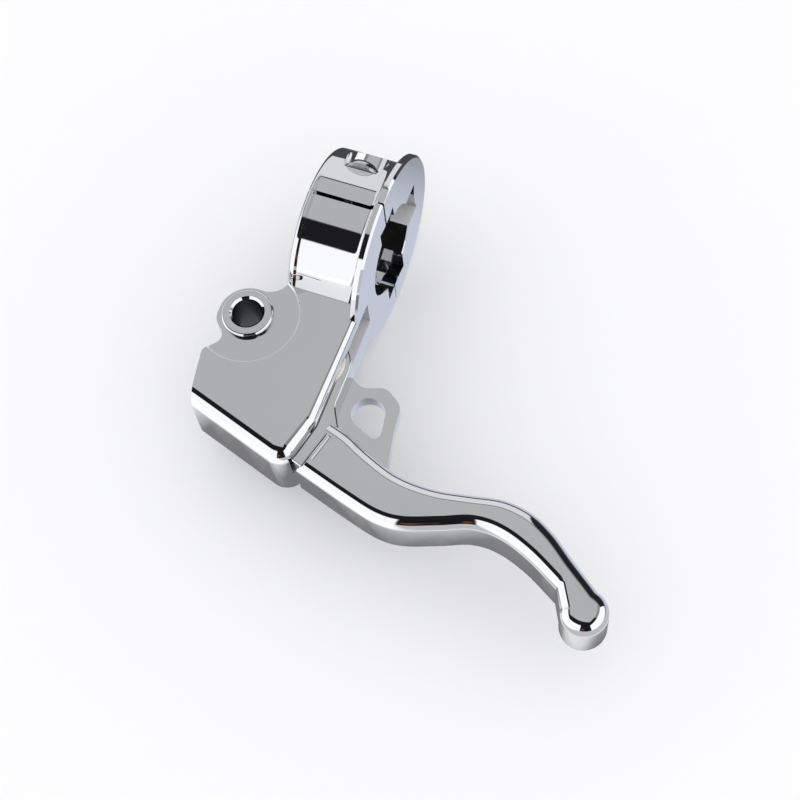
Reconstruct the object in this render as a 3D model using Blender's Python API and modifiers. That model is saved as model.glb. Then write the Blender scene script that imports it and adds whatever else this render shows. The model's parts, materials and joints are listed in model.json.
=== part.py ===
"""Cable clutch perch and short lever for a one inch handlebar.

World frame, in metres: the handlebar runs along X with its axis through the origin, +X is the
outboard (grip) side, -Y is forward and +Z is up. The lever swings about a vertical pin.
All sizes below are in millimetres and are scaled by MM where a shape is made.
"""
import math

import bmesh
import bpy
from mathutils import Matrix, Vector

MM = 0.001

# Handlebar clamp
BORE_R = 12.8            # clears a 25.4 mm bar
CLAMP_IN = -10.8         # inboard face
RIM_STEP = -9.0          # inboard rim to band
COVE_START = 6.0         # band to the hollow fillet under the flange
FLANGE_STEP = 8.4        # inboard face of the flange
CLAMP_OUT = 10.5         # outboard face of the flange
RIM_R = 23.2
BAND_R = 22.0
CAP_BAND_R = 23.2        # the cap has no groove between its rim and its flange
FLANGE_R = 26.4
RIM_BEVEL = 0.8
FLANGE_BEVEL = 0.6
SPLIT_Y = -1.5
SPLIT_GAP = 0.7
CAP_FLAT_END = 3.3       # flats beside the split reach back to this y
CAP_FLAT_Z = 22.7
FLANGE_FLAT_Z = 25.9
RING_STEPS = 96

# Recesses in the outboard face that take the switch housing
RECESS_DEPTH = 5.4
RECESS_HALF = 5.7
RECESS_REACH = 18.2
TOP_RECESS_REACH = 16.4

# Housing block
TOP_Z = 5.0
BOTTOM_Z = -16.5
EDGE_FILLET = 5.0        # along the front wall and round its outboard corner
SIDE_FILLET = 2.0        # along the outboard side
TAPER = (-60.0, -50.0)   # the y range in which the first goes over into the second
FOOT_FILLET = 1.4
WALL_ANGLE = math.radians(-17.9)      # front wall direction, from +X
HOUSING = [                            # x, y, corner radius
    (10.5, -13.2, 0), (-10.8, -13.2, 0), (-10.8, -24.8, 5.5), (-25.7, -24.8, 8.0),
    (-25.7, -36.5, 4.5), (-20.6, -40.8, 3.0), (-25.3, -46.0, 2.0), (-22.9, -60.4, 0),
    (7.5, -70.22, 5.3), (10.5, -55.5, 8.0)]
OUTBOARD_X = 8.0                       # outline points beyond this belong to the outboard side
FRONT_LINE = (-22.9, -60.0, -0.2)      # x, y and slope of a line just behind the front wall
SHARP_TURN = 0.3                       # sine of the least turn that counts as a corner

# Mirror boss
MIRROR = (-17.7, -32.8)
MIRROR_HOLE_R = 4.1
MIRROR_RING_R = 7.0
MIRROR_RING_TOP = 6.4
SPOTFACE_R = 13.6
SPOTFACE_DEPTH = 0.35

# Lever slot in the housing
SLOT_TOP = 1.8
SLOT_FLOOR = -7.6
SLOT = [
    (20.0, -18.6, 0), (6.0, -18.6, 2.0), (-6.4, -28.5, 4.0), (-6.4, -46.5, 4.0),
    (-8.6, -50.5, 3.0), (-8.6, -61.83, 3.0), (20.0, -71.06, 0)]

# Pivot
PIVOT = (4.0, -38.5)
PIVOT_PIN_R = 4.0
PIVOT_PIN_TOP = 3.7
PIVOT_HEAD_R = 6.0
PIVOT_HEAD_TOP = -12.8
PIVOT_HEAD_BOTTOM = -14.8
COUNTERBORE_R = 6.3
SNAP_RING_TOP = -15.0
SNAP_RING_BOTTOM = -15.9
SNAP_RING_R = 6.8
BUSHING_R = 5.5
FIT = 0.05               # radial clearance of a running or pressed fit

# Cable anchor
ANCHOR = (0.5, -57.0)
ANCHOR_PIN_R = 3.5
ANCHOR_BORE_R = 4.8
CABLE_Z = -2.9
CABLE_SLIT = 3.0
CABLE_SEAT_R = 4.6
CABLE_SEAT_DEPTH = 9.0
CABLE_BORE_R = 3.0
CABLE_INLET = 27.5       # anchor to outside the inboard wall, along the front wall

# Lever
TONGUE_TOP = 1.1
TONGUE_BOTTOM = -6.9
BLADE_TOP = 3.6
BLADE_BOTTOM = -12.6
BLADE_FILLET = 4.0
BLADE_FOOT = 1.5
TAB_TOP = -2.8
BALL = (90.4, -80.4)
BALL_R = 6.1
TONGUE = [
    (12.8, -29.7, 8.8), (-4.8, -29.7, 8.8), (-4.8, -45.5, 5.0), (-6.2, -50.0, 4.0),
    (-6.2, -61.92, 5.8), (13.4, -68.2, 0.8), (17.5, -57.0, 1.5), (12.8, -48.5, 5.0)]
# the blade's two long edges, root to ball; each point is x, y
FRONT_EDGE = [(24.7, -73.1), (33.6, -75.3), (40.6, -75.0), (49.6, -71.9), (57.3, -69.0),
              (64.6, -69.1), (72.9, -72.0), (82.0, -77.0)]
REAR_EDGE = [(90.2, -73.2), (84.2, -68.9), (77.2, -63.6), (70.4, -60.2), (62.6, -59.1),
             (53.8, -60.6), (44.8, -62.0), (35.2, -61.4), (26.6, -58.4), (19.8, -55.2)]
TAB = [
    (8.0, -38.2, 0), (13.6, -38.2, 0), (16.2, -40.3, 4.0), (22.8, -38.0, 3.5), (28.3, -41.6, 4.5),
    (29.0, -49.0, 4.0), (31.4, -62.0, 0), (14.0, -62.0, 0), (8.0, -50.0, 0)]
TAB_HOLE = [(20.9, -46.5, 4.5), (24.2, -50.7, 1.9)]   # two circles joined by their tangents

# Clamp screws, M5 button heads
SCREW_X = -0.5
SCREW_Z = 17.6
SCREW_R = 2.5
SCREW_HEAD_R = 4.75
SCREW_HEAD_H = 2.7
SCREW_END_Y = -7.6
SEAT_Y = 9.0
POCKET_R = 5.7
WASHER_R = 5.3
WASHER_H = 0.9


def clear_scene():
    for obj in list(bpy.data.objects):
        bpy.data.objects.remove(obj)


def new_collection(name):
    collection = bpy.data.collections.new(name)
    bpy.context.scene.collection.children.link(collection)
    return collection


def material(name, colour, metallic, roughness):
    mat = bpy.data.materials.new(name)
    mat.use_nodes = True
    shader = mat.node_tree.nodes["Principled BSDF"]
    shader.inputs["Base Color"].default_value = (*colour, 1.0)
    shader.inputs["Metallic"].default_value = metallic
    shader.inputs["Roughness"].default_value = roughness
    return mat


def move_to(obj, collection):
    for home in list(obj.users_collection):
        home.objects.unlink(obj)
    collection.objects.link(obj)


def rounded(corners, step_deg=9.0):
    """Points of a closed outline whose corners (x, y, radius) are replaced by arcs."""
    points = []
    count = len(corners)
    for index, (x, y, radius) in enumerate(corners):
        here = Vector((x, y))
        if radius <= 0:
            points.append(here)
            continue
        before = (Vector(corners[index - 1][:2]) - here).normalized()
        after = (Vector(corners[(index + 1) % count][:2]) - here).normalized()
        half = before.angle(after) / 2
        centre = here + (before + after).normalized() * (radius / math.sin(half))
        start = here + before * (radius / math.tan(half)) - centre
        sweep = math.pi - 2 * half
        if before.x * after.y - before.y * after.x > 0:
            sweep = -sweep
        pieces = max(2, round(abs(math.degrees(sweep)) / step_deg))
        for piece in range(pieces + 1):
            turn = Matrix.Rotation(sweep * piece / pieces, 2)
            points.append(centre + turn @ start)
    return points


def hull_of_two_circles(circle_a, circle_b, step_deg=12.0):
    """Outline around two circles (x, y, radius) and the two tangents that join them."""
    first, second = Vector(circle_a[:2]), Vector(circle_b[:2])
    line = second - first
    heading = math.atan2(line.y, line.x)
    open_angle = math.acos((circle_a[2] - circle_b[2]) / line.length)
    points = []
    for centre, radius, begin, sweep in (
            (first, circle_a[2], heading + open_angle, 2 * math.pi - 2 * open_angle),
            (second, circle_b[2], heading - open_angle, 2 * open_angle)):
        pieces = max(4, round(math.degrees(sweep) / step_deg))
        for piece in range(pieces + 1):
            angle = begin + sweep * piece / pieces
            points.append(centre + radius * Vector((math.cos(angle), math.sin(angle))))
    return points


def curve_to_mesh(curve_obj, name, collection):
    """Replace a curve object by a mesh object with welded, undivided flat caps."""
    graph = bpy.context.evaluated_depsgraph_get()
    mesh = bpy.data.meshes.new_from_object(curve_obj.evaluated_get(graph))
    work = bmesh.new()
    work.from_mesh(mesh)
    bmesh.ops.remove_doubles(work, verts=work.verts, dist=0.005 * MM)
    bmesh.ops.recalc_face_normals(work, faces=work.faces)
    flat = [edge for edge in work.edges
            if len(edge.link_faces) == 2 and all(abs(f.normal.z) > 0.99 for f in edge.link_faces)]
    bmesh.ops.dissolve_edges(work, edges=flat, use_verts=False)
    work.to_mesh(mesh)
    work.free()
    obj = bpy.data.objects.new(name, mesh)
    obj.matrix_world = curve_obj.matrix_world
    collection.objects.link(obj)
    bpy.data.objects.remove(curve_obj)
    return obj


def plate(name, outline, bottom, top, collection):
    """A flat outline (mm points) given thickness from bottom to top."""
    curve = bpy.data.curves.new(name, "CURVE")
    curve.dimensions = "2D"
    curve.fill_mode = "BOTH"
    curve.extrude = (top - bottom) / 2 * MM
    spline = curve.splines.new("POLY")
    spline.points.add(len(outline) - 1)
    for point, place in zip(spline.points, outline):
        point.co = (place[0] * MM, place[1] * MM, 0, 1)
    spline.use_cyclic_u = True
    curve_obj = bpy.data.objects.new(name + "_curve", curve)
    curve_obj.location.z = (top + bottom) / 2 * MM
    bpy.context.scene.collection.objects.link(curve_obj)
    bpy.context.view_layer.update()
    return curve_to_mesh(curve_obj, name, collection)


def bevel_rim(obj, world_z, radius, segments):
    """Round the outline edges at height world_z."""
    work = bmesh.new()
    work.from_mesh(obj.data)
    level = world_z * MM - obj.location.z
    chosen = []
    for edge in work.edges:
        if any(abs(vert.co.z - level) > 0.01 * MM for vert in edge.verts):
            continue
        chosen.append(edge)
    bmesh.ops.bevel(work, geom=chosen, offset=radius * MM, offset_type="OFFSET",
                    segments=segments, profile=0.5, affect="EDGES", clamp_overlap=False)
    work.to_mesh(obj.data)
    work.free()


def along(direction):
    return Vector(direction).to_track_quat("Z", "Y")


def cylinder(name, radius, start, end, collection, segments=48):
    """A cylinder between two points in mm."""
    start, end = Vector(start), Vector(end)
    bpy.ops.mesh.primitive_cylinder_add(
        vertices=segments, radius=radius * MM, depth=(end - start).length * MM)
    obj = bpy.context.object
    obj.name = name
    obj.data.name = name
    obj.rotation_mode = "QUATERNION"
    obj.rotation_quaternion = along(end - start)
    obj.location = (start + end) / 2 * MM
    move_to(obj, collection)
    return obj


def box(name, low, high, collection):
    bpy.ops.mesh.primitive_cube_add(size=1.0)
    obj = bpy.context.object
    obj.name = name
    size = Vector(high) - Vector(low)
    obj.data.transform(Matrix.Diagonal((*(size * MM), 1.0)))
    obj.location = (Vector(low) + Vector(high)) / 2 * MM
    move_to(obj, collection)
    return obj


def turned(name, profile, origin, direction, collection, steps=48, closed=False):
    """A lathe shape: profile is (radius, height) in mm, listed down its outer side."""
    mesh = bpy.data.meshes.new(name)
    verts = [(radius * MM, 0, height * MM) for radius, height in profile]
    edges = [(i, i + 1) for i in range(len(verts) - 1)]
    if closed:
        edges.append((len(verts) - 1, 0))
    mesh.from_pydata(verts, edges, [])
    obj = bpy.data.objects.new(name, mesh)
    obj.rotation_mode = "QUATERNION"
    obj.rotation_quaternion = along(direction)
    obj.location = Vector(origin) * MM
    collection.objects.link(obj)
    screw = obj.modifiers.new("Turn", "SCREW")
    screw.axis = "Z"
    screw.angle = 2 * math.pi
    screw.steps = steps
    screw.render_steps = steps
    screw.use_merge_vertices = True
    screw.merge_threshold = 0.00001
    return obj


def boolean(target, operation, tool):
    tool.hide_render = True
    tool.display_type = "WIRE"
    step = target.modifiers.new(tool.name, "BOOLEAN")
    step.operation = operation
    step.solver = "EXACT"
    step.object = tool


def cut(target, tool):
    boolean(target, "DIFFERENCE", tool)


def join(target, tool):
    boolean(target, "UNION", tool)


def finish(obj, mat, smooth_deg=32.0):
    obj.data.materials.clear()
    obj.data.materials.append(mat)
    obj.data.shade_smooth()
    obj.data.set_sharp_from_angle(angle=math.radians(smooth_deg))


def fillet_at(point):
    """Radius of the top fillet at a point of the housing outline; 0 where the edge stays sharp."""
    line_x, line_y, slope = FRONT_LINE
    if point.x < OUTBOARD_X and point.y > line_y + (point.x - line_x) * slope:
        return 0.0
    share = min(max((point.y - TAPER[0]) / (TAPER[1] - TAPER[0]), 0.0), 1.0)
    return EDGE_FILLET + (SIDE_FILLET - EDGE_FILLET) * share


def inward(before, here, after, rounded_before, rounded_after):
    """How an outline point moves when the rounded edges beside it are inset by one unit."""
    back = (here - before).normalized()
    ahead = (after - here).normalized()
    first = Vector((-back.y, back.x))
    second = Vector((-ahead.y, ahead.x))
    turn = first.x * second.y - first.y * second.x
    if abs(turn) < SHARP_TURN:
        return (first + second) / (1 + first.dot(second))
    return Vector((rounded_before * second.y - rounded_after * first.y,
                   rounded_after * first.x - rounded_before * second.x)) / turn


def housing_block(collection, steps, foot_steps):
    """The housing as rings of one outline, with a tapering top fillet and a small foot fillet."""
    outline = rounded(HOUSING)
    count = len(outline)
    radii = [fillet_at(point) for point in outline]
    moves = []
    for i in range(count):
        before, after = i - 1, (i + 1) % count
        moves.append(inward(outline[before], outline[i], outline[after],
                            radii[i] > 0 and radii[before] > 0, radii[i] > 0 and radii[after] > 0))
    rings = []
    for step in range(foot_steps + 1):
        angle = math.radians(90 * step / foot_steps)
        rings.append((math.sin(angle), math.cos(angle), True))
    for step in range(steps + 1):
        angle = math.radians(90 - 90 * step / steps)
        rings.append((math.sin(angle), math.cos(angle), False))
    work = bmesh.new()
    rows = []
    for sine, cosine, at_foot in rings:
        row = []
        for point, move, radius in zip(outline, moves, radii):
            size = min(radius, FOOT_FILLET) if at_foot else radius
            place = point + move * size * (1 - sine)
            height = BOTTOM_Z + size * (1 - cosine) if at_foot else TOP_Z - size * (1 - cosine)
            row.append(work.verts.new((place.x * MM, place.y * MM, height * MM)))
        rows.append(row)
    work.faces.new(list(reversed(rows[0])))
    work.faces.new(rows[-1])
    for low, high in zip(rows, rows[1:]):
        for i in range(count):
            after = (i + 1) % count
            work.faces.new((low[i], low[after], high[after], high[i]))
    bmesh.ops.remove_doubles(work, verts=work.verts, dist=0.002 * MM)
    bmesh.ops.dissolve_degenerate(work, edges=work.edges, dist=0.002 * MM)
    bmesh.ops.recalc_face_normals(work, faces=work.faces)
    mesh = bpy.data.meshes.new("housing_block")
    work.to_mesh(mesh)
    work.free()
    block = bpy.data.objects.new("housing_block", mesh)
    collection.objects.link(block)
    return block


def clamp_ring(name, collection, band_r):
    """The whole clamp ring before it is split, with its rim, hollow fillet and flange."""
    cove = FLANGE_STEP - COVE_START
    profile = [
        (BORE_R, CLAMP_OUT), (FLANGE_R - FLANGE_BEVEL, CLAMP_OUT),
        (FLANGE_R, CLAMP_OUT - FLANGE_BEVEL), (FLANGE_R, FLANGE_STEP)]
    for step in range(6):
        angle = math.radians(90 * step / 5)
        profile.append((band_r + cove - cove * math.sin(angle),
                        COVE_START + cove * math.cos(angle)))
    if band_r < RIM_R:
        profile += [(band_r, RIM_STEP), (RIM_R, RIM_STEP)]
    profile += [(RIM_R, CLAMP_IN + RIM_BEVEL), (RIM_R - RIM_BEVEL, CLAMP_IN), (BORE_R, CLAMP_IN)]
    return turned(name, profile, (0, 0, 0), (1, 0, 0), collection, RING_STEPS, closed=True)


def flange_recesses(prefix, collection):
    """Rear, bottom and top recesses in the outboard face, with slightly hollow ends."""
    inner = CLAMP_OUT - RECESS_DEPTH
    outer = CLAMP_OUT + 1
    half = RECESS_HALF
    return [
        box(prefix + "_rear", (inner, 0, -half), (outer, RECESS_REACH, half), collection),
        box(prefix + "_bottom", (inner, -half, -RECESS_REACH), (outer, half, 0), collection),
        box(prefix + "_top", (inner, -half, 0), (outer, half - 2.0, TOP_RECESS_REACH), collection)]


def front_wall_point(distance):
    """A point on the line through the anchor, parallel to the front wall."""
    heading = Vector((math.cos(WALL_ANGLE), math.sin(WALL_ANGLE)))
    return Vector(ANCHOR) + heading * distance


def perch_body(parts, cutters, mat):
    ring = clamp_ring("perch_body", parts, BAND_R)
    cut(ring, box("split_body", (-40, SPLIT_Y - SPLIT_GAP / 2, -40), (40, 60, 40), cutters))
    join(ring, housing_block(cutters, 7, 3))
    cut(ring, cylinder("mirror_spotface", SPOTFACE_R, (*MIRROR, TOP_Z - SPOTFACE_DEPTH),
                       (*MIRROR, TOP_Z + 4), cutters, 72))
    chamfer = 0.5
    ring_profile = [
        (0, MIRROR_RING_TOP), (MIRROR_RING_R - chamfer, MIRROR_RING_TOP),
        (MIRROR_RING_R, MIRROR_RING_TOP - chamfer), (MIRROR_RING_R, 0), (0, 0)]
    join(ring, turned("mirror_boss", ring_profile, (*MIRROR, 0), (0, 0, 1), cutters, 56))
    hole_profile = [
        (0, MIRROR_RING_TOP + 1), (MIRROR_HOLE_R + 1.55, MIRROR_RING_TOP + 1),
        (MIRROR_HOLE_R, MIRROR_RING_TOP - 0.55), (MIRROR_HOLE_R, BOTTOM_Z + 0.5),
        (MIRROR_HOLE_R + 1.5, BOTTOM_Z - 1), (0, BOTTOM_Z - 1)]
    cut(ring, turned("mirror_hole", hole_profile, (*MIRROR, 0), (0, 0, 1), cutters, 48))
    cut(ring, cylinder("bar_bore_body", BORE_R, (CLAMP_IN - 2, 0, 0), (CLAMP_OUT + 2, 0, 0),
                       cutters, RING_STEPS))
    cut(ring, plate("lever_slot", rounded(SLOT), SLOT_FLOOR, SLOT_TOP, cutters))
    pivot_cuts(ring, cutters)
    cable_cuts(ring, cutters)
    for recess in flange_recesses("recess_body", cutters):
        cut(ring, recess)
    for side in (-1, 1):
        cut(ring, cylinder(f"thread_{side}", SCREW_R + FIT, (SCREW_X, SCREW_END_Y - 0.6, side * SCREW_Z),
                           (SCREW_X, 10, side * SCREW_Z), cutters, 32))
    finish(ring, mat)
    return ring


def pivot_cuts(target, cutters):
    cut(target, cylinder("pivot_hole", PIVOT_PIN_R + FIT, (*PIVOT, BOTTOM_Z - 2),
                         (*PIVOT, PIVOT_PIN_TOP + 0.2), cutters, 48))
    cut(target, cylinder("pivot_counterbore", COUNTERBORE_R, (*PIVOT, BOTTOM_Z - 2),
                         (*PIVOT, PIVOT_HEAD_TOP + 0.1), cutters, 56))
    cut(target, cylinder("snap_ring_groove", SNAP_RING_R + 0.15, (*PIVOT, SNAP_RING_BOTTOM - 0.1),
                         (*PIVOT, SNAP_RING_TOP + 0.1), cutters, 56))


def cable_cuts(target, cutters):
    """The cable runs in along the front wall: a ferrule seat, then a smaller bore."""
    outside = front_wall_point(-CABLE_INLET)
    seat_end = front_wall_point(-CABLE_INLET + CABLE_SEAT_DEPTH + 2.5)
    inside = front_wall_point(-6.0)
    cut(target, cylinder("cable_seat", CABLE_SEAT_R, (*outside, CABLE_Z), (*seat_end, CABLE_Z),
                         cutters, 48))
    cut(target, cylinder("cable_bore", CABLE_BORE_R, (*outside, CABLE_Z), (*inside, CABLE_Z),
                         cutters, 40))


def clamp_cap(parts, cutters, mat):
    ring = clamp_ring("clamp_cap", parts, CAP_BAND_R)
    cut(ring, box("split_cap", (-40, -60, -40), (40, SPLIT_Y + SPLIT_GAP / 2, 40), cutters))
    for recess in flange_recesses("recess_cap", cutters):
        cut(ring, recess)
    for side in (-1, 1):
        for part, left, right, flat in (("band", RIM_STEP, COVE_START + 0.6, CAP_FLAT_Z),
                                        ("flange", COVE_START + 0.5, CLAMP_OUT + 1, FLANGE_FLAT_Z)):
            near, far = sorted((side * flat, side * (flat + 9)))
            cut(ring, box(f"cap_flat_{part}_{side}", (left, -10, near),
                          (right, CAP_FLAT_END, far), cutters))
        height = side * SCREW_Z
        cut(ring, cylinder(f"screw_clearance_{side}", SCREW_R + 0.25, (SCREW_X, -9, height),
                           (SCREW_X, 30, height), cutters, 32))
        cut(ring, cylinder(f"screw_pocket_{side}", POCKET_R, (SCREW_X, SEAT_Y, height),
                           (SCREW_X, 40, height), cutters, 56))
    finish(ring, mat)
    return ring


def clamp_screw(name, side, parts, cutters, mat):
    """Button-head screw; its local +Z points out of the head, towards +Y."""
    shank = SEAT_Y + WASHER_H + 0.1 - SCREW_END_Y
    head = SCREW_HEAD_H
    profile = [
        (0, head), (SCREW_HEAD_R * 0.55, head * 0.97), (SCREW_HEAD_R * 0.82, head * 0.72),
        (SCREW_HEAD_R * 0.96, head * 0.4), (SCREW_HEAD_R, head * 0.12), (SCREW_HEAD_R, 0),
        (SCREW_R, 0), (SCREW_R, -shank + 0.6), (SCREW_R - 0.6, -shank), (0, -shank)]
    origin = (SCREW_X, SEAT_Y + WASHER_H + 0.1, side * SCREW_Z)
    screw = turned(name, profile, origin, (0, 1, 0), parts, 32)
    socket = cylinder(name + "_socket", 1.73, Vector(origin) + Vector((0, 1.0, 0)),
                      Vector(origin) + Vector((0, 5.0, 0)), cutters, 6)
    cut(screw, socket)
    finish(screw, mat)
    return screw


def washer(name, inner, outer, bottom, height, origin, direction, parts, mat):
    profile = [(inner, bottom + height), (outer, bottom + height), (outer, bottom), (inner, bottom)]
    ring = turned(name, profile, origin, direction, parts, 48, closed=True)
    finish(ring, mat)
    return ring


def snap_ring(parts, cutters, mat):
    """Internal retaining ring with a gap at the front and a plier hole in each end."""
    height = SNAP_RING_TOP - SNAP_RING_BOTTOM
    ring = washer("pivot_snap_ring", SNAP_RING_R - 2.0, SNAP_RING_R, SNAP_RING_BOTTOM, height,
                  (*PIVOT, 0), (0, 0, 1), parts, mat)
    gap = 1.1
    x, y = PIVOT
    cut(ring, box("snap_ring_gap", (x - gap, y - 12, -20), (x + gap, y, -10), cutters))
    for side in (-1, 1):
        cut(ring, cylinder(f"plier_hole_{side}", 0.45, (x + side * 2.3, y - 5.2, -20),
                           (x + side * 2.3, y - 5.2, -10), cutters, 16))
    return ring


def pivot_pin(parts, cutters, mat):
    profile = [
        (0, PIVOT_PIN_TOP), (PIVOT_PIN_R - 0.5, PIVOT_PIN_TOP), (PIVOT_PIN_R, PIVOT_PIN_TOP - 0.5),
        (PIVOT_PIN_R, PIVOT_HEAD_TOP), (PIVOT_HEAD_R, PIVOT_HEAD_TOP),
        (PIVOT_HEAD_R, PIVOT_HEAD_BOTTOM + 0.3), (PIVOT_HEAD_R - 0.3, PIVOT_HEAD_BOTTOM),
        (0, PIVOT_HEAD_BOTTOM)]
    pin = turned("pivot_pin", profile, (*PIVOT, 0), (0, 0, 1), parts, 48)
    x, y = PIVOT
    cut(pin, box("pin_driver_slot", (x - 8, y - 0.6, -20), (x + 8, y + 0.6, -13.9), cutters))
    finish(pin, mat)
    return pin


def blade_outline():
    """Closed outline of the blade: two smooth edges, the ball end and the square root."""
    root_front, root_rear = (9.7, -68.55), (13.9, -53.3)
    ball = Vector(BALL)
    start = Vector(FRONT_EDGE[-1]) - ball
    end = Vector(REAR_EDGE[0]) - ball
    first, last = math.atan2(start.y, start.x), math.atan2(end.y, end.x)
    if last < first:
        last += 2 * math.pi
    ball_points = []
    for piece in range(2, 17):
        angle = first + (last - first) * piece / 18
        ball_points.append(ball + BALL_R * Vector((math.cos(angle), math.sin(angle))))
    front = smooth_run([root_front] + FRONT_EDGE)
    rear = smooth_run(REAR_EDGE + [root_rear])
    return front + ball_points + rear


def smooth_run(points, pieces=4):
    """Catmull-Rom curve through the points."""
    knots = [Vector(p) for p in points]
    knots = [knots[0] * 2 - knots[1]] + knots + [knots[-1] * 2 - knots[-2]]
    run = []
    for i in range(1, len(knots) - 2):
        a, b, c, d = knots[i - 1:i + 3]
        for piece in range(pieces):
            t = piece / pieces
            run.append(0.5 * (2 * b + (c - a) * t + (2 * a - 5 * b + 4 * c - d) * t ** 2
                              + (3 * b - a - 3 * c + d) * t ** 3))
    return run + [knots[-2]]


def clutch_lever(parts, cutters, mat):
    """Blade, tongue and switch tab in one piece; its origin is on the pivot axis."""
    lever = plate("clutch_lever", blade_outline(), BLADE_BOTTOM, BLADE_TOP, parts)
    bevel_rim(lever, BLADE_TOP, BLADE_FILLET, 5)
    bevel_rim(lever, BLADE_BOTTOM, BLADE_FOOT, 3)
    tongue = plate("lever_tongue", rounded(TONGUE), TONGUE_BOTTOM, TONGUE_TOP, cutters)
    bevel_rim(tongue, TONGUE_TOP, 0.6, 2)
    bevel_rim(tongue, TONGUE_BOTTOM, 0.6, 2)
    tab = plate("lever_tab", rounded(TAB), TONGUE_BOTTOM + 0.05, TAB_TOP, cutters)
    place_origin(lever, (*PIVOT, 0))
    join(lever, tongue)
    join(lever, tab)
    hole = hull_of_two_circles(*TAB_HOLE)
    cut(lever, plate("tab_hole", hole, TONGUE_BOTTOM - 5, TAB_TOP + 5, cutters))
    cut(lever, cylinder("bushing_bore", BUSHING_R + FIT, (*PIVOT, -30), (*PIVOT, 30), cutters, 48))
    cut(lever, cylinder("anchor_bore", ANCHOR_BORE_R + FIT, (*ANCHOR, -30), (*ANCHOR, 30), cutters, 48))
    slit = box("cable_slit", (-14, -CABLE_SLIT / 2, -20), (0, CABLE_SLIT / 2, 20), cutters)
    slit.location = (*(Vector(ANCHOR) * MM), 0)
    slit.data.transform(Matrix.Translation((-7 * MM, 0, 0)))
    slit.rotation_euler.z = WALL_ANGLE
    cut(lever, slit)
    finish(lever, mat)
    return lever


def place_origin(obj, place):
    """Move an object's origin without moving its shape."""
    shift = Vector(place) * MM - obj.location
    obj.data.transform(Matrix.Translation(-shift))
    obj.location = obj.location + shift


def anchor_pin(parts, cutters, mat):
    """Barrel that holds the cable end; a cross hole takes the cable."""
    top, bottom = TONGUE_TOP - 0.1, TONGUE_BOTTOM + 0.1
    chamfer = 0.4
    profile = [
        (0, top), (ANCHOR_PIN_R - chamfer, top), (ANCHOR_PIN_R, top - chamfer),
        (ANCHOR_PIN_R, bottom + chamfer), (ANCHOR_PIN_R - chamfer, bottom), (0, bottom)]
    pin = turned("cable_anchor_pin", profile, (*ANCHOR, 0), (0, 0, 1), parts, 48)
    near, far = front_wall_point(-8), front_wall_point(8)
    cut(pin, cylinder("cable_hole", 1.0, (*near, CABLE_Z), (*far, CABLE_Z), cutters, 24))
    cut(pin, cylinder("cable_end_seat", 2.4, (*front_wall_point(0.6), CABLE_Z), (*far, CABLE_Z),
                      cutters, 32))
    finish(pin, mat)
    return pin


def build():
    clear_scene()
    parts = new_collection("clutch_lever_assembly")
    cutters = new_collection("cutters")
    chrome = {name: material(name, (0.80, 0.81, 0.82), 1.0, 0.07)
              for name in ("chrome_perch", "chrome_cap", "chrome_lever")}
    steel = {name: material(name, (0.60, 0.60, 0.60), 1.0, 0.22)
             for name in ("screw_upper_steel", "screw_lower_steel", "washer_upper_steel",
                          "washer_lower_steel", "pivot_pin_steel", "snap_ring_steel")}
    bronze = material("bushing_bronze", (0.60, 0.40, 0.19), 1.0, 0.35)
    brass = material("anchor_brass", (0.72, 0.56, 0.26), 1.0, 0.28)
    nylon = {name: material(name, (0.83, 0.82, 0.77), 0.0, 0.45)
             for name in ("thrust_upper_nylon", "thrust_lower_nylon",
                          "anchor_upper_nylon", "anchor_lower_nylon")}

    perch_body(parts, cutters, chrome["chrome_perch"])
    clamp_cap(parts, cutters, chrome["chrome_cap"])
    for word, side in (("upper", 1), ("lower", -1)):
        clamp_screw(f"clamp_screw_{word}", side, parts, cutters, steel[f"screw_{word}_steel"])
        washer(f"clamp_washer_{word}", SCREW_R + 0.2, WASHER_R, 0.05, WASHER_H - 0.05,
               (SCREW_X, SEAT_Y, side * SCREW_Z), (0, 1, 0), parts, steel[f"washer_{word}_steel"])
    clutch_lever(parts, cutters, chrome["chrome_lever"])
    height = TONGUE_TOP - TONGUE_BOTTOM
    washer("pivot_bushing", PIVOT_PIN_R + FIT, BUSHING_R, TONGUE_BOTTOM, height,
           (*PIVOT, 0), (0, 0, 1), parts, bronze)
    pivot_pin(parts, cutters, steel["pivot_pin_steel"])
    snap_ring(parts, cutters, steel["snap_ring_steel"])
    gap = 0.1
    shim = SLOT_TOP - TONGUE_TOP - 2 * gap
    for word, bottom in (("upper", TONGUE_TOP + gap), ("lower", SLOT_FLOOR + gap)):
        washer(f"thrust_washer_{word}", PIVOT_PIN_R + 0.1, 7.4, bottom, shim,
               (*PIVOT, 0), (0, 0, 1), parts, nylon[f"thrust_{word}_nylon"])
    anchor_pin(parts, cutters, brass)
    sleeve = 2.6
    for word, bottom in (("upper", TONGUE_TOP - 0.1 - sleeve), ("lower", TONGUE_BOTTOM + 0.1)):
        washer(f"anchor_sleeve_{word}", ANCHOR_PIN_R + FIT, ANCHOR_BORE_R, bottom, sleeve,
               (*ANCHOR, 0), (0, 0, 1), parts, nylon[f"anchor_{word}_nylon"])


build()
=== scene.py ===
"""Looks of the cable clutch perch and lever: polished chrome in a white light tent.

The CAD nodes are the frame. The three chrome pieces are built again here at a finer step from the
same outlines, and the small hardware keeps its CAD solids with refined edges and materials.
Sizes are in millimetres and are scaled by MM where a shape is made.
"""

import json
import math

import bmesh
import bpy
from mathutils import Matrix, Vector, geometry

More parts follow.
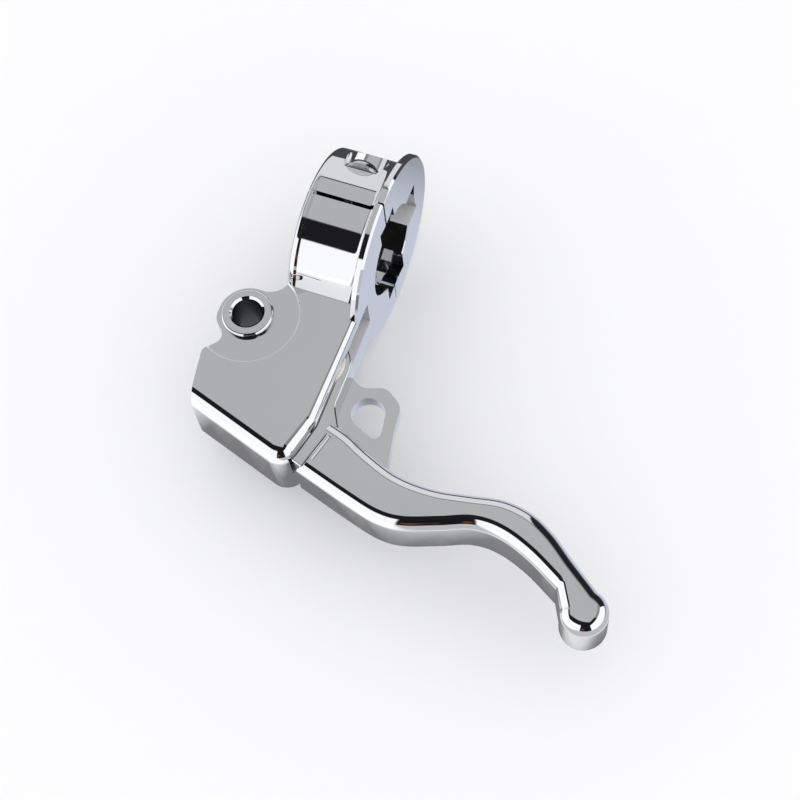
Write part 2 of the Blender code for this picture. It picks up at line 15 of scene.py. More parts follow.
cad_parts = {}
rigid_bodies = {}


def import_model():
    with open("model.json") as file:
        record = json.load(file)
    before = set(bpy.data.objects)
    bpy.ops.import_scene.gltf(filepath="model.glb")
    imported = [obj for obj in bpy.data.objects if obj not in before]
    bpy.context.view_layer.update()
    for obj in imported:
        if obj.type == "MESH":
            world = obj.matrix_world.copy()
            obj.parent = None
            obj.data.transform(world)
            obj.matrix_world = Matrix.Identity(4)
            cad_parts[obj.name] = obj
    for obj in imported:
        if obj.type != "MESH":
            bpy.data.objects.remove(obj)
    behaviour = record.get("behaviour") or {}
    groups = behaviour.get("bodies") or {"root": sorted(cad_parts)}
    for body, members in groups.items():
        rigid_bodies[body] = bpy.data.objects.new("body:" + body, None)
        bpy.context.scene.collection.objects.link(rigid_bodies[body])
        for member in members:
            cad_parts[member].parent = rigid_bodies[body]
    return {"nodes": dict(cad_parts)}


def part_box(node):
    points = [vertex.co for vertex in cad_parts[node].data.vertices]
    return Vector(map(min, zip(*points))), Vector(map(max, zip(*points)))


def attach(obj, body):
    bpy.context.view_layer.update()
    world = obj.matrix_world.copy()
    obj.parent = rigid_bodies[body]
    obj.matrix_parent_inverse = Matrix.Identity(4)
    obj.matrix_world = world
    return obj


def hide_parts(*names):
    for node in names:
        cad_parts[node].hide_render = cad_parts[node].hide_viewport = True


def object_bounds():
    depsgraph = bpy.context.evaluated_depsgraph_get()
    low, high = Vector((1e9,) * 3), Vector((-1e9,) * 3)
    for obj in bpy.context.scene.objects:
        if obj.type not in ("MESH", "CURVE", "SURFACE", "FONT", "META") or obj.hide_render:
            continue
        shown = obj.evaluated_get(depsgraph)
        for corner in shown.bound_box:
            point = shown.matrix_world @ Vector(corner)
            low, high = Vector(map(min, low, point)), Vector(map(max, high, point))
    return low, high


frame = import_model()
cad_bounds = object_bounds()
MM = 0.001


def node_box(node):
    """Lowest and highest corner of a CAD node in mm."""
    low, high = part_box(node)
    return Vector(low) / MM, Vector(high) / MM


CAP_LOW, CAP_HIGH = node_box("clamp_cap")
LEVER_LOW, LEVER_HIGH = node_box("clutch_lever")
PIN_LOW, PIN_HIGH = node_box("pivot_pin")
BUSHING_LOW, BUSHING_HIGH = node_box("pivot_bushing")
BARREL_LOW, BARREL_HIGH = node_box("cable_anchor_pin")
SLEEVE_LOW, SLEEVE_HIGH = node_box("anchor_sleeve_upper")
SCREW_LOW, SCREW_HIGH = node_box("clamp_screw_upper")
WASHER_LOW = node_box("clamp_washer_upper")[0]

# Handlebar clamp
BORE_R = 12.8
CLAMP_IN = CAP_LOW.x
CLAMP_OUT = CAP_HIGH.x
FLANGE_R = CAP_HIGH.z
RIM_STEP = CLAMP_IN + 1.8
FLANGE_STEP = CLAMP_OUT - 2.1
COVE = 2.4
RIM_R = FLANGE_R - 3.2
BAND_R = RIM_R - 1.2
SPLIT_Y = CAP_LOW.y - 0.35
SPLIT_GAP = 0.7
CAP_FLAT_END = 3.3
CAP_FLAT_Z = BAND_R + 0.7
FLANGE_FLAT_Z = FLANGE_R - 0.5
RING_STEPS = 256
RECESS_DEPTH = 5.4

# Housing block
TOP_Z = 5.0
BOTTOM_Z = -16.5
EDGE_FILLET = 5.0
SIDE_FILLET = 2.0
TAPER = (-60.0, -50.0)               # the y range in which the first goes over into the second
FOOT_FILLET = 1.4
WALL_ANGLE = math.radians(-17.9)
HOUSING = [
    (CLAMP_OUT, -13.2, 0), (CLAMP_IN, -13.2, 0), (CLAMP_IN, -24.8, 5.5), (-25.7, -24.8, 8.0),
    (-25.7, -36.5, 4.5), (-20.6, -40.8, 3.0), (-25.3, -46.0, 2.0), (-22.9, -60.4, 0),
    (7.5, -70.22, 5.3), (CLAMP_OUT, -55.5, 8.0)]
OUTBOARD_X = 8.0                     # outline points beyond this belong to the outboard side
FRONT_LINE = (-22.9, -60.0, -0.2)    # x, y and slope of a line just behind the front wall
SHARP_TURN = 0.3                     # sine of the least turn that counts as a corner
MIRROR = (-17.7, -32.8)
MIRROR_HOLE_R = 4.1
MIRROR_RING_R = 7.0
MIRROR_RING_TOP = 6.4
SPOTFACE_R = 13.6
SPOTFACE_DEPTH = 0.35
SLOT_TOP = 1.8
SLOT_FLOOR = -7.6
SLOT = [
    (20.0, -18.6, 0), (6.0, -18.6, 2.0), (-6.4, -28.5, 4.0), (-6.4, -46.5, 4.0),
    (-8.6, -50.5, 3.0), (-8.6, -61.83, 3.0), (20.0, -71.06, 0)]

# Pivot and cable anchor, where the frame has them
PIVOT = tuple(((PIN_LOW + PIN_HIGH) / 2).xy)
ANCHOR = tuple(((BARREL_LOW + BARREL_HIGH) / 2).xy)
PIVOT_PIN_R = 4.0
COUNTERBORE_R = 6.3
HEAD_SEAT_Z = -12.7
GROOVE_R = 6.95
GROOVE = (-16.0, -14.9)
FIT = 0.05
BUSHING_R = (BUSHING_HIGH.x - BUSHING_LOW.x) / 2 + FIT
ANCHOR_BORE_R = (SLEEVE_HIGH.x - SLEEVE_LOW.x) / 2 + FIT
CABLE_Z = -2.9
CABLE_SLIT = 3.0
CABLE_SEAT_R = 4.6
CABLE_SEAT_DEPTH = 9.0
CABLE_BORE_R = 3.0
CABLE_INLET = 27.5

# Lever
TONGUE_TOP = BUSHING_HIGH.z
TONGUE_BOTTOM = BUSHING_LOW.z
BLADE_TOP = LEVER_HIGH.z
BLADE_BOTTOM = LEVER_LOW.z
BLADE_FILLET = 4.0
BLADE_FOOT = 1.5
TAB_TOP = -2.8
BALL = (90.4, -80.4)
BALL_R = 6.1
TONGUE = [
    (12.8, -29.7, 8.8), (-4.8, -29.7, 8.8), (-4.8, -45.5, 5.0), (-6.2, -50.0, 4.0),
    (-6.2, -61.92, 5.8), (13.4, -68.2, 0.8), (17.5, -57.0, 1.5), (12.8, -48.5, 5.0)]
FRONT_EDGE = [(24.7, -73.1), (33.6, -75.3), (40.6, -75.0), (49.6, -71.9), (57.3, -69.0),
              (64.6, -69.1), (72.9, -72.0), (82.0, -77.0)]
REAR_EDGE = [(90.2, -73.2), (84.2, -68.9), (77.2, -63.6), (70.4, -60.2), (62.6, -59.1),
             (53.8, -60.6), (44.8, -62.0), (35.2, -61.4), (26.6, -58.4), (19.8, -55.2)]
ROOT_FRONT = (9.7, -68.55)
ROOT_REAR = (13.9, -53.3)
TAB = [
    (8.0, -38.2, 0), (13.6, -38.2, 0), (16.2, -40.3, 4.0), (22.8, -38.0, 3.5), (28.3, -41.6, 4.5),
    (29.0, -49.0, 4.0), (31.4, -62.0, 0), (14.0, -62.0, 0), (8.0, -50.0, 0)]
TAB_HOLE = [(20.9, -46.5, 4.5), (24.2, -50.7, 1.9)]

# Clamp screws
SCREW_X = (SCREW_LOW.x + SCREW_HIGH.x) / 2
SCREW_Z = (SCREW_LOW.z + SCREW_HIGH.z) / 2
SCREW_R = 2.5
SCREW_END_Y = SCREW_LOW.y
SEAT_Y = WASHER_LOW.y - 0.05
POCKET_R = 5.7

# Camera and light
LENS = 76.5
SENSOR = 36.0
CAMERA_PLACE = (0.1160, -0.2061, 0.3989)
CAMERA_RIGHT = (0.93592, 0.34647, -0.06331)
CAMERA_UP = (-0.29006, 0.86018, 0.41947)

# Floor: where its painted reflection changes, in mm, and the painted shades that mirrors see: a painted
# contact shadow round the outline, a painted lit patch ahead, a cool tone behind and dark farther back
FLOOR_GAP = 0.5
FLOOR_REACH = 3000
FLOOR_FINE = 240
FLOOR_STEP = 4
CONTACT = (5.5, 14.0)                # gap to the outline: from the painted contact shadow to plain white
OPEN = (19.0, 26.0)                  # and from plain white to the painted lit patch beyond it
LIT_END = (34.0, 56.0)               # x: the painted lit patch ends ahead of the blade's middle
REAR = (-58.0, -40.0)                # y: from the front shades to the cool painted rear tone
FAR_REAR = (20.0, 70.0)              # y: the cool rear tone falls off into painted dark
# painted reflection colours: the floor glows with these for glossy rays only, from a painted contact shadow
# near the object to painted light ahead
PAINTED_CONTACT_SHADOW = Vector((0.22, 0.22, 0.225))
OPEN_SHADE = Vector((0.88, 0.88, 0.89))
LIT_SHADE = Vector((1.25, 1.25, 1.26))
DIM_SHADE = Vector((0.60, 0.60, 0.61))
COOL_SHADE = Vector((0.62, 0.66, 0.765))
DARK_SHADE = Vector((0.07, 0.07, 0.075))

work = bpy.data.collections.new("cutters")
shown = bpy.data.collections.new("looks")
for group in (work, shown):
    bpy.context.scene.collection.children.link(group)


# ---------------------------------------------------------------- shapes

def rounded(corners, step_deg=4.0):
    """Points of a closed outline whose corners (x, y, radius) are replaced by arcs."""
    points = []
    count = len(corners)
    for index, (x, y, radius) in enumerate(corners):
        here = Vector((x, y))
        if radius <= 0:
            points.append(here)
            continue
        before = (Vector(corners[index - 1][:2]) - here).normalized()
        after = (Vector(corners[(index + 1) % count][:2]) - here).normalized()
        half = before.angle(after) / 2
        centre = here + (before + after).normalized() * (radius / math.sin(half))
        start = here + before * (radius / math.tan(half)) - centre
        sweep = math.pi - 2 * half
        if before.x * after.y - before.y * after.x > 0:
            sweep = -sweep
        pieces = max(3, round(abs(math.degrees(sweep)) / step_deg))
        for piece in range(pieces + 1):
            points.append(centre + Matrix.Rotation(sweep * piece / pieces, 2) @ start)
    return points


def hull_of_two_circles(circle_a, circle_b, step_deg=6.0):
    """Outline around two circles (x, y, radius) and the two tangents that join them."""
    first, second = Vector(circle_a[:2]), Vector(circle_b[:2])
    line = second - first
    heading = math.atan2(line.y, line.x)
    open_angle = math.acos((circle_a[2] - circle_b[2]) / line.length)
    points = []
    for centre, radius, begin, sweep in (
            (first, circle_a[2], heading + open_angle, 2 * math.pi - 2 * open_angle),
            (second, circle_b[2], heading - open_angle, 2 * open_angle)):
        pieces = max(6, round(math.degrees(sweep) / step_deg))
        for piece in range(pieces + 1):
            angle = begin + sweep * piece / pieces
            points.append(centre + radius * Vector((math.cos(angle), math.sin(angle))))
    return points


def smooth_run(points, pieces=10):
    """Catmull-Rom curve through the points."""
    knots = [Vector(p) for p in points]
    knots = [knots[0] * 2 - knots[1]] + knots + [knots[-1] * 2 - knots[-2]]
    run = []
    for i in range(1, len(knots) - 2):
        a, b, c, d = knots[i - 1:i + 3]
        for piece in range(pieces):
            t = piece / pieces
            run.append(0.5 * (2 * b + (c - a) * t + (2 * a - 5 * b + 4 * c - d) * t ** 2
                              + (3 * b - a - 3 * c + d) * t ** 3))
    return run + [knots[-2]]


def new_object(name, mesh, place=(0, 0, 0), group=work):
    obj = bpy.data.objects.new(name, mesh)
    obj.location = Vector(place) * MM
    group.objects.link(obj)
    return obj


def plate(name, outline, bottom, top, group=work):
    """A flat outline (mm points) given thickness from bottom to top, with one face at each end."""
    shape = bmesh.new()
    verts = [shape.verts.new((p[0] * MM, p[1] * MM, bottom * MM)) for p in outline]
    floor = shape.faces.new(verts)
    made = bmesh.ops.extrude_face_region(shape, geom=[floor])["geom"]
    lifted = [item for item in made if isinstance(item, bmesh.types.BMVert)]
    bmesh.ops.translate(shape, verts=lifted, vec=(0, 0, (top - bottom) * MM))
    bmesh.ops.remove_doubles(shape, verts=shape.verts, dist=0.005 * MM)
    bmesh.ops.recalc_face_normals(shape, faces=shape.faces)
    mesh = bpy.data.meshes.new(name)
    shape.to_mesh(mesh)
    shape.free()
    return new_object(name, mesh, group=group)


def bevel_rim(obj, level, radius, segments):
    """Round the outline edges at height level."""
    shape = bmesh.new()
    shape.from_mesh(obj.data)
    chosen = []
    for edge in shape.edges:
        if any(abs(vert.co.z / MM - level) > 0.01 for vert in edge.verts):
            continue
        chosen.append(edge)
    bmesh.ops.bevel(shape, geom=chosen, offset=radius * MM, offset_type="OFFSET",
                    segments=segments, profile=0.5, affect="EDGES", clamp_overlap=False)
    shape.to_mesh(obj.data)
    shape.free()


def fillet_at(point):
    """Radius of the top fillet at a point of the housing outline; 0 where the edge stays sharp."""
    line_x, line_y, slope = FRONT_LINE
    if point.x < OUTBOARD_X and point.y > line_y + (point.x - line_x) * slope:
        return 0.0
    share = min(max((point.y - TAPER[0]) / (TAPER[1] - TAPER[0]), 0.0), 1.0)
    return EDGE_FILLET + (SIDE_FILLET - EDGE_FILLET) * share


def inward(before, here, after, rounded_before, rounded_after):
    """How an outline point moves when the rounded edges beside it are inset by one unit."""
    back = (here - before).normalized()
    ahead = (after - here).normalized()
    first = Vector((-back.y, back.x))
    second = Vector((-ahead.y, ahead.x))
    turn = first.x * second.y - first.y * second.x
    if abs(turn) < SHARP_TURN:
        return (first + second) / (1 + first.dot(second))
    return Vector((rounded_before * second.y - rounded_after * first.y,
                   rounded_after * first.x - rounded_before * second.x)) / turn


def housing_block(steps, foot_steps):
    """The housing as rings of one outline, with a tapering top fillet and a small foot fillet."""
    outline = rounded(HOUSING)
    count = len(outline)
    radii = [fillet_at(point) for point in outline]
    moves = []
    for i in range(count):
        before, after = i - 1, (i + 1) % count
        moves.append(inward(outline[before], outline[i], outline[after],
                            radii[i] > 0 and radii[before] > 0, radii[i] > 0 and radii[after] > 0))
    rings = []
    for step in range(foot_steps + 1):
        angle = math.radians(90 * step / foot_steps)
        rings.append((math.sin(angle), math.cos(angle), True))
    for step in range(steps + 1):
        angle = math.radians(90 - 90 * step / steps)
        rings.append((math.sin(angle), math.cos(angle), False))
    shape = bmesh.new()
    rows = []
    for sine, cosine, at_foot in rings:
        row = []
        for point, move, radius in zip(outline, moves, radii):
            size = min(radius, FOOT_FILLET) if at_foot else radius
            place = point + move * size * (1 - sine)
            height = BOTTOM_Z + size * (1 - cosine) if at_foot else TOP_Z - size * (1 - cosine)
            row.append(shape.verts.new((place.x * MM, place.y * MM, height * MM)))
        rows.append(row)
    shape.faces.new(list(reversed(rows[0])))
    shape.faces.new(rows[-1])
    for low, high in zip(rows, rows[1:]):
        for i in range(count):
            after = (i + 1) % count
            shape.faces.new((low[i], low[after], high[after], high[i]))
    bmesh.ops.remove_doubles(shape, verts=shape.verts, dist=0.002 * MM)
    bmesh.ops.dissolve_degenerate(shape, edges=shape.edges, dist=0.002 * MM)
    bmesh.ops.recalc_face_normals(shape, faces=shape.faces)
    mesh = bpy.data.meshes.new("housing_block")
    shape.to_mesh(mesh)
    shape.free()
    return new_object("housing_block", mesh)


def cylinder(name, radius, start, end, segments=96):
    """A cutter between two points in mm."""
    start, end = Vector(start) * MM, Vector(end) * MM
    shape = bmesh.new()
    bmesh.ops.create_cone(shape, cap_ends=True, segments=segments, radius1=radius * MM,
                          radius2=radius * MM, depth=(end - start).length)
    turn = (end - start).to_track_quat("Z", "Y").to_matrix().to_4x4()
    bmesh.ops.transform(shape, verts=shape.verts, matrix=Matrix.Translation((start + end) / 2) @ turn)
    mesh = bpy.data.meshes.new(name)
    shape.to_mesh(mesh)
    shape.free()
    return new_object(name, mesh)


def box(name, low, high):
    low, high = Vector(low) * MM, Vector(high) * MM
    shape = bmesh.new()
    bmesh.ops.create_cube(shape, size=1.0)
    size = Matrix.Diagonal((*(high - low), 1.0))
    bmesh.ops.transform(shape, verts=shape.verts, matrix=Matrix.Translation((low + high) / 2) @ size)
    mesh = bpy.data.meshes.new(name)
    shape.to_mesh(mesh)
    shape.free()
    return new_object(name, mesh)


def turned(name, profile, origin, direction, steps, closed=False, group=work):
    """A lathe shape: profile is (radius, height) in mm, listed down its outer side."""
    mesh = bpy.data.meshes.new(name)
    verts = [(radius * MM, 0, height * MM) for radius, height in profile]
    edges = [(i, i + 1) for i in range(len(verts) - 1)]
    if closed:
        edges.append((len(verts) - 1, 0))
    mesh.from_pydata(verts, edges, [])
    obj = new_object(name, mesh, origin, group)
    obj.rotation_mode = "QUATERNION"
    obj.rotation_quaternion = Vector(direction).to_track_quat("Z", "Y")
    screw = obj.modifiers.new("Turn", "SCREW")
    screw.axis = "Z"
    screw.angle = 2 * math.pi
    screw.steps = steps
    screw.render_steps = steps
    screw.use_merge_vertices = True
    screw.merge_threshold = 0.00001
    return obj


def boolean(target, operation, tool):
    tool.hide_render = True
    tool.hide_viewport = True
    step = target.modifiers.new(tool.name, "BOOLEAN")
    step.operation = operation
    step.solver = "EXACT"
    step.object = tool


def cut(target, tool):
    boolean(target, "DIFFERENCE", tool)


def join(target, tool):
    boolean(target, "UNION", tool)


def settle(obj, edge_round=0.0, sharp_deg=30.0):
    """Apply the modifiers in world space, round the sharp edges a little and set the normals."""
    bpy.context.view_layer.update()
    graph = bpy.context.evaluated_depsgraph_get()
    mesh = bpy.data.meshes.new_from_object(obj.evaluated_get(graph))
    mesh.transform(obj.matrix_world)
    obj.modifiers.clear()
    obj.matrix_world = Matrix.Identity(4)
    obj.data = mesh
    shape = bmesh.new()
    shape.from_mesh(mesh)
    bmesh.ops.remove_doubles(shape, verts=shape.verts, dist=0.002 * MM)
    bmesh.ops.dissolve_degenerate(shape, edges=shape.edges, dist=0.002 * MM)
    shape.to_mesh(mesh)
    shape.free()
    if edge_round:
        bevel = obj.modifiers.new("Edges", "BEVEL")
        bevel.width = edge_round * MM
        bevel.segments = 3
        bevel.limit_method = "ANGLE"
        bevel.angle_limit = math.radians(sharp_deg)
        bevel.miter_outer = "MITER_ARC"
        bevel.use_clamp_overlap = True
    for face in mesh.polygons:
        face.use_smooth = True
    mesh.set_sharp_from_angle(angle=math.radians(sharp_deg))
    normals = obj.modifiers.new("Normals", "WEIGHTED_NORMAL")
    normals.mode = "FACE_AREA"
    normals.weight = 100
    normals.keep_sharp = True
    return obj


# ---------------------------------------------------------------- the chrome pieces

def clamp_ring(name, band_r):
    """The whole clamp ring before it is split, with its rim, hollow fillet and flange."""
    flange_bevel = 0.6
    rim_round = 1.5
    profile = [(BORE_R + 0.25, CLAMP_OUT), (FLANGE_R - flange_bevel, CLAMP_OUT)]
    profile += [(FLANGE_R, CLAMP_OUT - flange_bevel), (FLANGE_R, FLANGE_STEP + 0.2),
                (FLANGE_R - 0.2, FLANGE_STEP)]
    for step in range(13):
        angle = math.radians(90 * step / 12)
        profile.append((band_r + COVE - COVE * math.sin(angle),
                        FLANGE_STEP - COVE + COVE * math.cos(angle)))
    if band_r < RIM_R:
        profile += [(band_r, RIM_STEP), (RIM_R, RIM_STEP)]
    for step in range(9):
        angle = math.radians(90 * step / 8)
        profile.append((RIM_R - rim_round + rim_round * math.cos(angle),
                        CLAMP_IN + rim_round - rim_round * math.sin(angle)))
    profile += [(BORE_R + 0.25, CLAMP_IN), (BORE_R, CLAMP_IN + 0.25), (BORE_R, CLAMP_OUT - 0.25)]
    return turned(name, profile, (0, 0, 0), (1, 0, 0), RING_STEPS, closed=True, group=shown)


def hollow_end(reach, half_low, half_high, dip, pieces=8):
    """A recess outline from the bore axis outwards, its far edge bowed in by dip."""
    points = [(0, -half_low)]
    for step in range(pieces + 1):
        share = step / pieces
        across = -half_low + (half_low + half_high) * share
        bow = dip * (1 - (2 * share - 1) ** 2)
        points.append((reach - bow, across))
    points.append((0, half_high))
    return points


def flange_recesses(prefix):
    """Rear, bottom and top recesses in the outboard face of the flange."""
    tools = []
    for word, outline, heading in (
            ("rear", hollow_end(18.2, 5.7, 5.7, 1.0), (0, 1)),
            ("bottom", hollow_end(18.3, 5.7, 5.7, 0.8), (-1, 0)),
            ("top", hollow_end(16.6, 3.7, 5.7, 0.8), (1, 0))):
        tool = plate(f"{prefix}_{word}", outline, CLAMP_OUT - RECESS_DEPTH, CLAMP_OUT + 1)
        sin_a, cos_a = heading
        tool.data.transform(Matrix((
            (0, 0, 1, 0), (cos_a, -sin_a, 0, 0), (sin_a, cos_a, 0, 0), (0, 0, 0, 1))))
        shape = bmesh.new()
        shape.from_mesh(tool.data)
        bmesh.ops.recalc_face_normals(shape, faces=shape.faces)
        shape.to_mesh(tool.data)
        shape.free()
        tools.append(tool)
    return tools


def along_front_wall(distance):
    """A point on the line through the cable anchor, parallel to the front wall."""
    return Vector(ANCHOR) + distance * Vector((math.cos(WALL_ANGLE), math.sin(WALL_ANGLE)))


def perch_body():
    body = clamp_ring("perch_chrome", BAND_R)
    cut(body, box("split_body", (-40, SPLIT_Y - SPLIT_GAP / 2, -40), (40, 60, 40)))
    join(body, housing_block(14, 6))
    spotface = [(0, TOP_Z + 4), (SPOTFACE_R + 0.4, TOP_Z + 4), (SPOTFACE_R + 0.4, TOP_Z + 0.05),
                (SPOTFACE_R, TOP_Z - SPOTFACE_DEPTH), (0, TOP_Z - SPOTFACE_DEPTH)]
    cut(body, turned("mirror_spotface", spotface, (*MIRROR, 0), (0, 0, 1), 192))
    ring_top = MIRROR_RING_TOP
    ring = [(0, ring_top), (MIRROR_RING_R - 0.9, ring_top)]
    for step in range(1, 8):
        angle = math.radians(90 * step / 7)
        ring.append((MIRROR_RING_R - 0.9 + 0.9 * math.sin(angle), ring_top - 0.9 + 0.9 * math.cos(angle)))
    ring += [(MIRROR_RING_R, 0), (0, 0)]
    join(body, turned("mirror_boss", ring, (*MIRROR, 0), (0, 0, 1), 128))
    hole = [
        (0, ring_top + 1), (MIRROR_HOLE_R + 1.6, ring_top + 1), (MIRROR_HOLE_R + 0.25, ring_top - 0.35),
        (MIRROR_HOLE_R, ring_top - 0.6), (MIRROR_HOLE_R, BOTTOM_Z + 0.5),
        (MIRROR_HOLE_R + 1.5, BOTTOM_Z - 1), (0, BOTTOM_Z - 1)]
    cut(body, turned("mirror_hole", hole, (*MIRROR, 0), (0, 0, 1), 96))
    cut(body, cylinder("bar_bore_body", BORE_R, (CLAMP_IN - 2, 0, 0), (CLAMP_OUT + 2, 0, 0), RING_STEPS))
    cut(body, plate("lever_slot", rounded(SLOT), SLOT_FLOOR, SLOT_TOP))
    cut(body, cylinder("pivot_hole", PIVOT_PIN_R + FIT, (*PIVOT, BOTTOM_Z - 2),
                       (*PIVOT, PIN_HIGH.z + 0.2), 72))
    cut(body, cylinder("pivot_counterbore", COUNTERBORE_R, (*PIVOT, BOTTOM_Z - 2),
                       (*PIVOT, HEAD_SEAT_Z), 96))
    cut(body, cylinder("snap_ring_groove", GROOVE_R, (*PIVOT, GROOVE[0]), (*PIVOT, GROOVE[1]), 96))
    outside = along_front_wall(-CABLE_INLET)
    seat_end = along_front_wall(-CABLE_INLET + CABLE_SEAT_DEPTH + 2.5)
    inside = along_front_wall(-6.0)
    cut(body, cylinder("cable_seat", CABLE_SEAT_R, (*outside, CABLE_Z), (*seat_end, CABLE_Z), 72))
    cut(body, cylinder("cable_bore", CABLE_BORE_R, (*outside, CABLE_Z), (*inside, CABLE_Z), 64))
    for recess in flange_recesses("recess_body"):
        cut(body, recess)
    for side in (-1, 1):
        height = side * SCREW_Z
        cut(body, cylinder(f"thread_{side}", SCREW_R + FIT, (SCREW_X, SCREW_END_Y - 0.6, height),
                           (SCREW_X, 10, height), 48))
    return settle(body, 0.16)


def clamp_cap():
    cap = clamp_ring("cap_chrome", RIM_R)
    cut(cap, box("split_cap", (-40, -60, -40), (40, SPLIT_Y + SPLIT_GAP / 2, 40)))
    for recess in flange_recesses("recess_cap"):
        cut(cap, recess)
    cove_start = FLANGE_STEP - COVE
    for side in (-1, 1):
        for part, left, right, flat in (("band", RIM_STEP, cove_start + 0.6, CAP_FLAT_Z),
                                        ("flange", cove_start + 0.5, CLAMP_OUT + 1, FLANGE_FLAT_Z)):
            near, far = sorted((side * flat, side * (flat + 9)))
            cut(cap, box(f"cap_flat_{part}_{side}", (left, -10, near), (right, CAP_FLAT_END, far)))
        height = side * SCREW_Z
        cut(cap, cylinder(f"screw_clearance_{side}", SCREW_R + 0.25, (SCREW_X, -9, height),
                          (SCREW_X, 30, height), 48))
        cut(cap, cylinder(f"screw_pocket_{side}", POCKET_R, (SCREW_X, SEAT_Y, height),
                          (SCREW_X, 40, height), 96))
    return settle(cap, 0.16)


def blade_outline():
    """Closed outline of the blade: two smooth edges, the ball end and the square root."""
    ball = Vector(BALL)
    start = Vector(FRONT_EDGE[-1]) - ball
    end = Vector(REAR_EDGE[0]) - ball
    first, last = math.atan2(start.y, start.x), math.atan2(end.y, end.x)
    if last < first:
        last += 2 * math.pi
    ball_points = []
    pieces = 54
    for piece in range(6, pieces - 2):
        angle = first + (last - first) * piece / pieces
        ball_points.append(ball + BALL_R * Vector((math.cos(angle), math.sin(angle))))
    front = smooth_run([ROOT_FRONT] + FRONT_EDGE)
    rear = smooth_run(REAR_EDGE + [ROOT_REAR])
    return front + ball_points + rear


def clutch_lever():
    """Blade, tongue and switch tab in one piece."""
    lever = plate("lever_chrome", blade_outline(), BLADE_BOTTOM, BLADE_TOP, shown)
    bevel_rim(lever, BLADE_TOP, BLADE_FILLET, 12)
    bevel_rim(lever, BLADE_BOTTOM, BLADE_FOOT, 6)
    tongue = plate("lever_tongue", rounded(TONGUE), TONGUE_BOTTOM, TONGUE_TOP)
    bevel_rim(tongue, TONGUE_TOP, 0.6, 3)
    bevel_rim(tongue, TONGUE_BOTTOM, 0.6, 3)
    tab = plate("lever_tab", rounded(TAB), TONGUE_BOTTOM + 0.05, TAB_TOP)
    join(lever, tongue)
    join(lever, tab)
    hole = hull_of_two_circles(*TAB_HOLE)
    cut(lever, plate("tab_hole", hole, TONGUE_BOTTOM - 5, TAB_TOP + 5))
    cut(lever, cylinder("bushing_bore", BUSHING_R, (*PIVOT, -30), (*PIVOT, 30), 96))
    cut(lever, cylinder("anchor_bore", ANCHOR_BORE_R, (*ANCHOR, -30), (*ANCHOR, 30), 72))
    slit = box("cable_slit", (-14, -CABLE_SLIT / 2, -20), (0, CABLE_SLIT / 2, 20))
    slit.data.transform(Matrix.Translation((ANCHOR[0] * MM, ANCHOR[1] * MM, 0))
                        @ Matrix.Rotation(WALL_ANGLE, 4, "Z"))
    cut(lever, slit)
    return settle(lever, 0.16)


# ---------------------------------------------------------------- materials

def shader_node(tree, kind, **values):
    node = tree.nodes.new(kind)
    for key, value in values.items():
        setattr(node, key, value)
    return node


def base_material(name, colour, metallic, roughness):
    mat = bpy.data.materials.new(name)
    mat.use_nodes = True
    shader = mat.node_tree.nodes["Principled BSDF"]
    shader.inputs["Base Color"].default_value = (*colour, 1.0)
    shader.inputs["Metallic"].default_value = metallic
    shader.inputs["Roughness"].default_value = roughness
    return mat, mat.node_tree, shader


def noise(tree, scale, detail=2.0, stretch=(1, 1, 1)):
    """Noise in object space; scale is in cycles per metre."""
    place = shader_node(tree, "ShaderNodeTexCoord")
    mapping = shader_node(tree, "ShaderNodeMapping")
    mapping.inputs["Scale"].default_value = stretch
    texture = shader_node(tree, "ShaderNodeTexNoise")
    texture.inputs["Scale"].default_value = scale
    texture.inputs["Detail"].default_value = detail
    tree.links.new(place.outputs["Object"], mapping.inputs["Vector"])
    tree.links.new(mapping.outputs["Vector"], texture.inputs["Vector"])
    return texture.outputs["Fac"]


def spread(tree, value, low, high):
    """Map noise (about 0.3 to 0.7) to the range low to high."""
    ramp = shader_node(tree, "ShaderNodeMapRange")
    ramp.inputs["From Min"].default_value = 0.3
    ramp.inputs["From Max"].default_value = 0.7
    ramp.inputs["To Min"].default_value = low
    ramp.inputs["To Max"].default_value = high
    tree.links.new(value, ramp.inputs["Value"])
    return ramp.outputs["Result"]


def bump(tree, shader, height, strength, distance):
    node = shader_node(tree, "ShaderNodeBump")
    node.inputs["Strength"].default_value = strength
    node.inputs["Distance"].default_value = distance
    tree.links.new(height, node.inputs["Height"])
    tree.links.new(node.outputs["Normal"], shader.inputs["Normal"])


def two_tone(tree, shader, value, colour_a, colour_b):
    mix = shader_node(tree, "ShaderNodeMix", data_type="RGBA")
    mix.inputs["A"].default_value = (*colour_a, 1.0)
    mix.inputs["B"].default_value = (*colour_b, 1.0)
    tree.links.new(spread(tree, value, 0.0, 1.0), mix.inputs["Factor"])
    tree.links.new(mix.outputs["Result"], shader.inputs["Base Color"])


def chrome(name):
    """Show chrome: near mirror, with a faint polishing ripple and slightly hazy patches."""
    mat, tree, shader = base_material(name, (0.80, 0.805, 0.82), 1.0, 0.04)
    tree.links.new(spread(tree, noise(tree, 90.0), 0.025, 0.06), shader.inputs["Roughness"])
    two_tone(tree, shader, noise(tree, 40.0), (0.79, 0.795, 0.805), (0.81, 0.815, 0.83))
    bump(tree, shader, noise(tree, 120.0, 1.0), 0.02, 0.0004)
    return mat


def steel(name, colour, roughness, grain=(1, 1, 12)):
    mat, tree, shader = base_material(name, colour, 1.0, roughness)
    fine = noise(tree, 900.0, 3.0, grain)
    tree.links.new(spread(tree, fine, roughness * 0.7, roughness * 1.4), shader.inputs["Roughness"])
    dark = tuple(channel * 0.86 for channel in colour)
    two_tone(tree, shader, noise(tree, 300.0), dark, colour)
    bump(tree, shader, fine, 0.06, 0.0001)
    return mat


